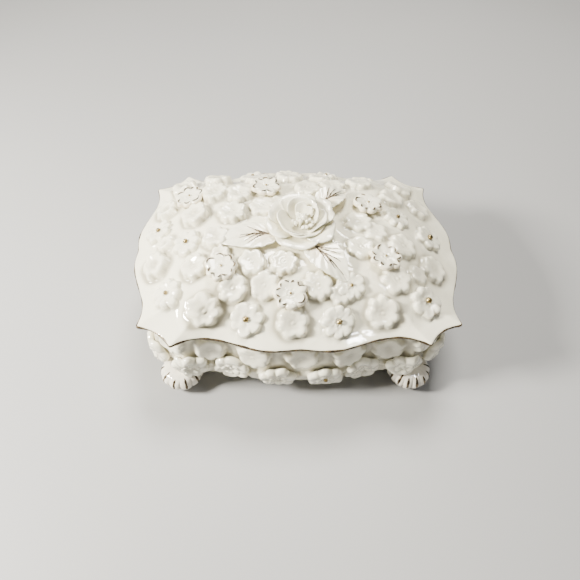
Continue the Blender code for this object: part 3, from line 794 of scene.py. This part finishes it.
# The outer petals lie out over the crown, cupped, with lips rolled over.
#      middle spread  r1    z1   roll cup
OUTER = [(252, 108, 18.4, 5.0, 1.7, 0.9), (322, 92, 18.0, 6.6, 1.9, 0.6), (22, 78, 17.6, 9.2, 2.2, 0.2),
         (92, 94, 16.4, 9.6, 1.4, 0.5), (146, 80, 17.2, 7.9, 1.3, 0.5), (196, 86, 17.8, 6.5, 1.5, 0.7)]
for k, (middle, spread, r1, z1, roll, cup) in enumerate(OUTER):
    rose_petal(f"rose_outer_petal_mesh_{k + 1}", middle, spread, 4.0, r1, 0.4, z1, 0.9, 1.25, roll, 300 + k,
               [outer[k]] if k < 5 else [], ruffle=1.7 if k in (1, 2) else 1.1, skew=1.0, cup=cup)
# The bowl round the heart: a low front lip, a broad left wall, and taller petals behind.
BOWL = [(208, 150, 12.4, 8.6, 0.8, 0.3), (285, 132, 12.8, 6.8, 0.9, 0.4), (352, 104, 12.6, 9.4, 1.1, 0.3),
        (78, 128, 11.2, 11.6, 1.0, 0.0)]
for k, (middle, spread, r1, z1, roll, cup) in enumerate(BOWL):
    rose_petal(f"rose_bowl_petal_{k + 1}", middle, spread, 1.2, r1, 1.6, z1, 0.72, 2.3, roll, 340 + k,
               [inner[k]], ruffle=0.75, skew=0.55, cup=cup)
rose_petal("rose_folded_petal_1", 66, 110, 2.4, 6.9, 2.4, 11.2, 0.8, 1.5, 0.3, 360, ruffle=0.8, skew=0.5)
rose_petal("rose_folded_petal_2", 28, 92, 4.2, 8.8, 2.2, 10.2, 0.8, 1.6, 0.5, 361, ruffle=0.8, skew=-0.6)


def stamens():
    """The rose's heart: curled threads and small buds of rolled slip."""
    rng = np.random.default_rng(11)
    P, F = [], []
    for k in range(30):
        ring = k % 3
        r_at = (1.0, 3.3, 5.4)[ring] + rng.uniform(-0.5, 0.5)
        ang = k * 2.399 + rng.uniform(-0.3, 0.3)
        tall = (8.6, 7.7, 6.4)[ring] + rng.uniform(-0.9, 0.9)
        fat = rng.uniform(0.80, 1.15)
        base = np.array([ROSE[0] + 0.45 * r_at * math.cos(ang), ROSE[1] + 0.45 * r_at * math.sin(ang), ROSE[2] + 1.0])
        tip = np.array([ROSE[0] + 1.3 + r_at * math.cos(ang), ROSE[1] + r_at * math.sin(ang), ROSE[2] + tall])
        bend = np.array([rng.uniform(-0.9, 0.9), rng.uniform(-0.9, 0.9), 0.6])
        start = len(P)
        steps, sides = 11, 10
        for i in range(steps):
            t = i / (steps - 1)
            p = base + (tip - base) * t + bend * math.sin(math.pi * t) * 0.8
            swell = fat * (0.62 + 0.55 * math.exp(-((t - 0.86) / 0.16) ** 2))
            if t > 0.9:
                swell *= math.sqrt(max(0.02, 1 - ((t - 0.9) / 0.1) ** 2))
            for q in range(sides):
                w = 2 * math.pi * q / sides
                P.append(p + np.array([math.cos(w), math.sin(w), 0.25 * math.cos(w + ang)]) * swell)
        for i in range(steps - 1):
            for q in range(sides):
                u = (q + 1) % sides
                F.append((start + i * sides + q, start + i * sides + u,
                          start + (i + 1) * sides + u, start + (i + 1) * sides + q))
        F.append(tuple(start + q for q in range(sides))[::-1])
        F.append(tuple(start + (steps - 1) * sides + q for q in range(sides)))
    P = np.array(P)
    P += 0.12 * wobble(P, 1.8, 4)[:, None] * np.array([0.6, 0.6, 0.6])
    # Painted shade with a glaze-pool tint, darker towards the threads' feet among the petals.
    return mesh_object("rose_heart", P, F, PETALS, "lid", ["rose_stamens"],
                       {"pool_and_shade": np.clip((ROSE[2] + 5.0 - P[:, 2]) / 5, 0, 0.6)})


stamens()


# ------------------------------------------------------------------ leaves
def leaf(name, root, tip, width, lift, node, seed, strokes, droop=0.0, arch=1.0, curl=0.0):
    """A pressed leaf with a furrowed midrib, side furrows, a toothed edge and gilt veins. Each
    stroke runs from one place on the leaf to another: (along, across, along, across)."""
    rng = np.random.default_rng(seed)
    root, tip = np.array(root, float), np.array(tip, float)
    along = tip - root
    length = np.linalg.norm(along)
    along /= length
    side = np.array([-along[1], along[0]])
    rows, cols = 90, 50
    v = np.linspace(0, 1, rows)
    s = np.linspace(-1, 1, cols)

    def half(v):
        return width / 2 * np.clip(np.sin(math.pi * np.clip(0.12 + 0.88 * v, 0, 1) ** 0.85), 0, 1) ** 0.70

    def ground(x, y):
        hit = LID_TREE.ray_cast(Vector((x, y, 120)), Vector((0, 0, -1)), 100)[0]
        return hit.z if hit is not None else RIM_Z

    sway = rng.uniform(-0.5, 0.5)
    low = np.array([[ground(*(root + along * (length * a) + side * (half(a) * b)))
                     for b in np.linspace(-1, 1, 9)] for a in np.linspace(0, 1, 15)])

    def height(v, s):
        fv, fs = v * 14, (s + 1) * 4
        i, j = min(13, int(fv)), min(7, int(fs))
        p, q = fv - i, fs - j
        return ((low[i, j] * (1 - q) + low[i, j + 1] * q) * (1 - p)
                + (low[i + 1, j] * (1 - q) + low[i + 1, j + 1] * q) * p)

    def place(v, s):
        teeth = 1 + 0.030 * math.sin(v * 36 + (0 if s > 0 else 1.3)) * abs(s) ** 3
        w = half(v) * s * teeth
        p = root + along * (length * v) + side * (w + sway * math.sin(math.pi * v))
        rise = lift * (0.2 + 0.8 * abs(s) ** 1.8) * (1 - 0.25 * v) + arch * math.sin(math.pi * min(1, v * 1.05))
        rise += 0.35 * math.sin(v * 7 + seed) * abs(s) - droop * v ** 2 + curl * max(0.0, s) * v
        rise -= 0.45 * math.exp(-(w / 0.6) ** 2) * (1 - 0.5 * v)
        fold = v * 5.2 - abs(s) * 1.5
        rise -= 0.20 * (0.5 + 0.5 * math.cos(2 * math.pi * fold)) * min(1, abs(s) * 3)
        return np.array([p[0], p[1], height(v, s) + 2.0 + rise])

    top = np.array([[place(a, b) for b in s] for a in v])
    thick = np.full((rows, cols), 1.15) * (1 - 0.5 * np.abs(s)[None, :] ** 6) * (1 - 0.5 * v[:, None] ** 8)
    # Painted shade with a glaze-pool tint along the midrib furrow.
    pool_and_shade = np.exp(-(s[None, :] * width / 2 / 0.9) ** 2) * 0.5 + 0 * v[:, None]
    tint = np.exp(-((v[:, None] - 0.3) / 0.28) ** 2) * (1 - np.abs(s)[None, :]) * 0.8
    piece = sheet(name, top[:, ::-1], thick, LEAF, "lid", [node] if node else [],
                  {"pool_and_shade": pool_and_shade, "tint": tint})
    lines = [[place(v0 + (v1 - v0) * t, s0 + (s1 - s0) * t ** 1.25) for t in np.linspace(0, 1, 26)]
             for v0, s0, v1, s1 in strokes]
    vein_lines(name + "_gilt_veins", lines, 0.40, "lid", seed, offset=0.68)
    return piece


leaf("rose_leaf_left", (-12.0, -11.0), (-42.0, -13.2), 17.0, 1.3, "leaf_left", 21,
     [(0.10, -0.10, 0.60, -0.12), (0.10, -0.10, 0.46, -0.72), (0.20, -0.12, 0.40, -0.62),
      (0.26, -0.12, 0.54, 0.46), (0.18, -0.06, 0.48, 0.66), (0.34, -0.14, 0.62, 0.14)], arch=1.4)
leaf("rose_leaf_front_right", (6.2, -16.6), (23.8, -38.2), 17.5, 1.2, "leaf_front_right", 22,
     [(0.13, 0.0, 0.88, 0.02), (0.15, 0.05, 0.46, 0.84), (0.24, 0.10, 0.58, 0.74), (0.38, 0.06, 0.68, 0.46),
      (0.20, -0.04, 0.58, -0.34), (0.38, 0.0, 0.72, -0.24), (0.30, 0.02, 0.56, -0.06)], arch=1.6)
leaf("rose_leaf_back_right", (12.5, 10.5), (28.5, 23.0), 15.0, 1.8, "leaf_back_right", 23,
     [(0.20, 0.0, 0.90, -0.25), (0.22, 0.0, 0.60, 0.80), (0.30, 0.0, 0.74, 0.60), (0.42, 0.0, 0.86, 0.25),
      (0.36, 0.0, 0.72, -0.55)], arch=2.2, curl=1.5)

# ------------------------------------------------------------------ the base
SEC = catmull_rom(BASE_SECTION, 92)
base_rings = np.array([with_z(inset_plan(inset, rounded), z) for z, inset, rounded in SEC])
_b = base_rings[::2, ::2]
BASE_TREE = tree_of(np.concatenate([[[0, 0, BASE_BOTTOM_Z]], _b.reshape(-1, 3), [[0, 0, BASE_TOP_Z]]]),
                    loft_faces(_b.shape[1], _b.shape[0]))


def base_frame(origin, towards, droop=0.0):
    """A place on the base's outside, found along this direction, leaning down by droop radians."""
    hit, normal, _, _ = BASE_TREE.ray_cast(Vector(origin), Vector(towards), 300)
    n = np.array(normal, float)
    if np.dot(n, np.array(towards)) > 0:
        n = -n
    # A steadier normal, from places round about.
    t = np.array(towards, float)
    side = np.cross(t, [0, 0, 1.0])
    probes = []
    for du, dz in ((5, 0), (-5, 0), (0, 4), (0, -4)):
        h = BASE_TREE.ray_cast(Vector(np.array(origin) + side * du + np.array([0, 0, dz])), Vector(t), 300)[0]
        probes.append(np.array(h if h is not None else hit, float))
    steady = np.cross(probes[0] - probes[1], probes[2] - probes[3])
    if np.linalg.norm(steady) > 1e-6:
        steady /= np.linalg.norm(steady)
        if np.dot(steady, t) > 0:
            steady = -steady
        n = steady
    n = n - np.array([0, 0, math.tan(droop)])
    n /= np.linalg.norm(n)
    a = np.cross([0, 0, 1.0], n)
    a /= np.linalg.norm(a)
    return np.array(hit, float), n, a, np.cross(n, a)


base_normals = grid_normals(base_rings)
if np.mean(base_normals[..., :2] * base_rings[..., :2]) < 0:
    base_normals = -base_normals
base_total = np.zeros(base_rings.shape[:2])
FIRST_ROW_FRONT = [(-66, 40), (-46, 37), (-23, 37), (2, 37), (26, 37), (47, 37), (66, 40)]
FIRST_ROW_SIDE = [(-30, 38), (-8, 38), (13, 38), (34, 38)]
SMALL_FRONT = [(-21, 17.5), (5, 16.5), (27, 17.5), (-46, 18), (46, 18)]
k = 0
for back in (-1, 1):
    for x, z in FIRST_ROW_FRONT:
        k += 1
        add_relief(base_rings, base_normals, base_total, base_frame((x, back * 120, z), (0, -back, 0)),
                   9.0, 3.3, 6 + k % 2, 1.3 * k, 500 + k, notch=0.12, lip=2.2, cleft=0.05, button=0.05, heart=0.0)
    for x, z in SMALL_FRONT:
        k += 1
        add_relief(base_rings, base_normals, base_total, base_frame((x, back * 120, z), (0, -back, 0)),
                   6.4, 2.4, 6, 1.3 * k, 500 + k)
for sgn in (-1, 1):
    for y, z in FIRST_ROW_SIDE:
        k += 1
        add_relief(base_rings, base_normals, base_total, base_frame((sgn * 140, y, z), (-sgn, 0, 0)),
                   9.0, 3.3, 6 + k % 2, 1.3 * k, 500 + k, notch=0.12, lip=2.2, cleft=0.05, button=0.05, heart=0.0)
hold = (smooth(np.arange(len(base_rings)), 0, 5) * smooth(len(base_rings) - 1 - np.arange(len(base_rings)), 0, 6))[:, None]
base_total *= hold
base_shape = base_rings + base_normals * (base_total + 0.12 * wobble(base_rings, 18.0, 12) * hold)[..., None]
# Painted shade with a glaze-pool tint, darker where the base lies below its neighbourhood, round and between its
# flowers.
nb, fb = hollow_of(base_total)
base_pool_and_shade = np.clip((fb - nb) / 0.45, 0, 1)
inside = [(inset_plan(7.8 + 0.6, 0.20), BASE_TOP_Z + 0.0), (inset_plan(MOUTH_INSET - 0.5, MOUTH_ROUND), BASE_TOP_Z),
          (inset_plan(MOUTH_INSET, MOUTH_ROUND), BASE_TOP_Z - 0.5),
          (inset_plan(MOUTH_INSET, MOUTH_ROUND), BASE_TOP_Z - 5.5)]
for z, inset, rounded in BASE_SECTION[-3:2:-1]:
    inside.append((inset_plan(inset + BASE_WALL + 1.0, min(1, rounded + 0.25)), z))
inside = catmull_rings = inside[:3] + [(inside[3][0], inside[3][1])] + inside[4:]
inside += [(inset_plan(13.5, 0.85), 18.0), (inset_plan(16.5, 0.95), BASE_FLOOR_Z + 0.25),
           (inset_plan(20.0, 1.0), BASE_FLOOR_Z), (inset_plan(0, 1) * 0.5, BASE_FLOOR_Z),
           (inset_plan(0, 1) * 0.2, BASE_FLOOR_Z)]
inside_rings = np.array([with_z(plan, z) for plan, z in inside])
bottom_rings = np.array([with_z(inset_plan(0, 1) * s, BASE_BOTTOM_Z + (0.5 if s < 0.8 else 0.0))
                         for s in (0.2, 0.5, 0.78, 0.84)])
P = np.concatenate([[[0, 0, BASE_BOTTOM_Z + 0.5]], bottom_rings.reshape(-1, 3), base_shape.reshape(-1, 3),
                    inside_rings.reshape(-1, 3), [[0, 0, BASE_FLOOR_Z]]])
pool_and_shade_all = np.concatenate([np.zeros(1 + len(bottom_rings) * N), base_pool_and_shade.reshape(-1),
                             np.zeros(len(inside) * N + 1)])
mesh_object("base_porcelain", P, loft_faces(N, len(bottom_rings) + len(base_rings) + len(inside)), SHELL,
            "base", ["base_body"], {"pool_and_shade": pool_and_shade_all})

BELLY_FRONT = [(-59.2, 23.0), (-34.5, 23.5), (-10.5, 19.5), (15.0, 19.0), (34.5, 21.5), (59.8, 23.0)]
BELLY_SIDE = [(-46.0, 24.5), (-22.0, 22.5), (0.0, 21.5), (22.0, 22.5), (46.0, 24.5)]
number = 0
for back in (-1, 1):
    for x, z in BELLY_FRONT:
        number += 1
        lean = 0.45 * np.sign(x) if abs(x) > 55 else 0.0
        aim = np.array([-lean, -back, 0]) / math.hypot(lean, 1)
        start = np.array([x, back * 61, z]) - aim * 60
        raised(f"belly_flower_{number}", base_frame(start, aim, 0.04), BASE_TREE,
               10.6, 3.4, 6 + number % 2, 0.7 * number, 700 + number, "base", "flower_porcelain",
               f"base_flower_{number}", PETALS, lift=1.2, notch=0.17, lip=2.2, dish=0.46, heart=0.04,
               cleft=0.20, inner=0.95, drape=0.70, bead=1.25 if number in (4, 9) else 0.0)
for sgn in (-1, 1):
    for y, z in BELLY_SIDE:
        number += 1
        raised(f"belly_flower_{number}", base_frame((sgn * 140, y, z), (-sgn, 0, 0), 0.04), BASE_TREE,
               10.6, 3.4, 6 + number % 2, 0.7 * number, 700 + number, "base", "flower_porcelain",
               f"base_flower_{number}", PETALS, lift=1.2, notch=0.17, lip=2.2, dish=0.46, heart=0.04,
               cleft=0.20, inner=0.95, drape=0.70)


# ------------------------------------------------------------------ feet
def bun_foot(name, x, y, node, seed, ribs):
    """A melon-shaped foot: ribs round it, gilt brushed down each furrow, a ring to stand on."""
    per = 18
    count = ribs * per
    theta = np.linspace(0, 2 * math.pi, count, endpoint=False)
    d = (theta * ribs / (2 * math.pi)) % 1.0 - 0.5
    section = catmull_rom([(3.6, 0.0), (4.6, 0.05), (5.4, 0.6), (6.9, 1.5), (9.0, 3.0), (10.8, 5.0),
                           (11.8, 7.3), (11.8, 9.2), (10.9, 11.2), (9.2, 12.8), (6.6, 13.7)], 52)
    rng = np.random.default_rng(seed)
    furrow = 1 - np.abs(d) * 2
    cut = 1 - np.sqrt(np.clip(1 - (1 - np.abs(d) * 2) ** 2.2, 0, 1))
    rings, mask, pool_and_shade = [], [], []
    for r, z in section:
        amount = smooth(z, 1.5, 4.0) * (1 - 0.5 * smooth(z, 10.5, 13.0))
        rr = r * (1 - 0.085 * amount * cut)
        rings.append(np.column_stack([x + rr * np.cos(theta), y + rr * np.sin(theta), np.full(count, z)]))
        # Painted shade with a glaze-pool tint down each furrow between the ribs.
        pool_and_shade.append(0.7 * cut * amount)
    P = np.array(rings)
    P += (0.12 * wobble(P, 6.0, seed))[..., None] * np.array([1, 1, 0.0])
    blot_at = np.array([x - 4.5 * (1 if x < 0 else -0.4), y - 9.0 * (1 if y < 0 else -1), 3.2])
    blot = np.exp(-(np.linalg.norm(P - blot_at, axis=2) / 1.8) ** 2)
    pts = np.concatenate([[[x, y, 0.0]], P.reshape(-1, 3), [[x, y, 13.8]]])
    mesh_object(name, pts, loft_faces(count, len(rings)), FOOTING, "base",
                [node], {"gilt": np.concatenate([[0], blot.reshape(-1), [0]]),
                         "pool_and_shade": np.concatenate([[0], np.array(pool_and_shade).reshape(-1), [0]])})
    lines = []
    for k in range(ribs):
        column = k * per
        heights = section[:, 1]
        lo, hi = 7.4 + rng.uniform(-0.9, 0.6), 13.4 + rng.uniform(-0.7, 0.2)
        chosen = [j for j in range(len(section)) if lo <= heights[j] <= hi]
        line = P[chosen, column]
        away = line - np.array([x, y, 0]) * [1, 1, 0] - np.array([0, 0, 7.0])
        line = line + away / np.linalg.norm(away, axis=1, keepdims=True) * 0.06
        lines.append(line)
    stroke_bands(name + "_gilt", lines, np.array([x, y, 7.0]), 0.68, "base", seed)


def stroke_bands(name, lines, centre, half, body, seed):
    """Short flat brush strokes of gilt lying on a rounded surface about this centre."""
    P, F = [], []
    sides = 8
    for index, line in enumerate(lines):
        ahead = np.gradient(line, axis=0)
        ahead /= np.linalg.norm(ahead, axis=1, keepdims=True)
        up = line - centre
        up /= np.linalg.norm(up, axis=1, keepdims=True)
        across = np.cross(ahead, up)
        m = len(line)
        t = np.linspace(0, 1, m)
        wide = half * (0.25 + 0.85 * np.sin(math.pi * t) ** 0.5) * (1 + 0.15 * wobble(line, 3.0, seed + index))
        start = len(P)
        for i in range(m):
            for q in range(sides):
                w = 2 * math.pi * q / sides
                P.append(line[i] + across[i] * math.cos(w) * wide[i] + up[i] * math.sin(w) * 0.16)
        for i in range(m - 1):
            for q in range(sides):
                u = (q + 1) % sides
                F.append((start + i * sides + q, start + i * sides + u,
                          start + (i + 1) * sides + u, start + (i + 1) * sides + q))
        F.append(tuple(start + q for q in range(sides))[::-1])
        F.append(tuple(start + (m - 1) * sides + q for q in range(sides)))
    return mesh_object(name, P, F, GOLD, body)


for k, (place, (sx, sy, ribs)) in enumerate({"front_left": (-1, -1, 10), "front_right": (1, -1, 14),
                                             "back_left": (-1, 1, 12), "back_right": (1, 1, 12)}.items()):
    low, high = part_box("foot_" + place)
    bun_foot("bun_foot_" + place, 500 * (low[0] + high[0]), 500 * (low[1] + high[1]), "foot_" + place,
             900 + k, ribs)

# ------------------------------------------------------------------ floor, lights, camera
floor_mesh = bpy.data.meshes.new("studio_floor")
floor_mesh.from_pydata([(-4, -4, 0), (4, -4, 0), (4, 6, 0), (-4, 6, 0)], [], [(0, 1, 2, 3)])
floor_mat, floor_tree, floor_shader = nodes_of("pale floor")
tone = ramp(floor_tree, noise(floor_tree, coords_of(floor_tree), 3.0, 2.0),
            [(0.3, (0.325, 0.325, 0.33)), (0.7, (0.35, 0.35, 0.352))])
link(floor_tree, tone, floor_shader.inputs["Base Color"])
floor_shader.inputs["Roughness"].default_value = 0.55
floor_mesh.materials.append(floor_mat)
floor = bpy.data.objects.new("studio_floor", floor_mesh)
bpy.context.scene.collection.objects.link(floor)


def area(name, at, towards, size, power, colour=(1, 1, 1), size_y=None):
    data = bpy.data.lights.new(name, "AREA")
    data.energy = power
    data.color = colour
    data.shape = "RECTANGLE"
    data.size = size
    data.size_y = size_y or size
    obj = bpy.data.objects.new(name, data)
    obj.location = at
    obj.rotation_euler = (Vector(towards) - Vector(at)).to_track_quat("-Z", "Y").to_euler()
    bpy.context.scene.collection.objects.link(obj)
    return obj


area("key", (-0.52, -0.13, 0.38), (-0.02, 0, 0.05), 0.12, 18.0, (1.0, 0.96, 0.86))
area("overhead", (0.06, 0.36, 0.82), (0, 0, 0.05), 0.30, 15.0, (1.0, 0.965, 0.88))
area("fill", (0.50, -0.80, 0.60), (0, 0, 0.05), 0.50, 0.9, (1.0, 0.97, 0.93))
area("window", (0.44, -0.17, 1.08), (0, 0, 0.05), 0.05, 1.7, (0.97, 0.98, 1.0), 0.075)
world = bpy.data.worlds.new("soft studio")
world.use_nodes = True
world.node_tree.nodes["Background"].inputs["Color"].default_value = (0.84, 0.82, 0.79, 1)
world.node_tree.nodes["Background"].inputs["Strength"].default_value = 0.09
bpy.context.scene.world = world

camera_data = bpy.data.cameras.new("camera")
camera_data.sensor_width = 36
camera_data.lens = 34.63
camera_data.shift_x = 0.05
camera_data.clip_start = 0.01
camera = bpy.data.objects.new("camera", camera_data)
camera.location = (-0.0205, -0.2150, 0.2824)
camera.rotation_euler = (math.radians(90 - 51.12), 0, math.radians(-0.38))
bpy.context.scene.collection.objects.link(camera)
bpy.context.scene.camera = camera
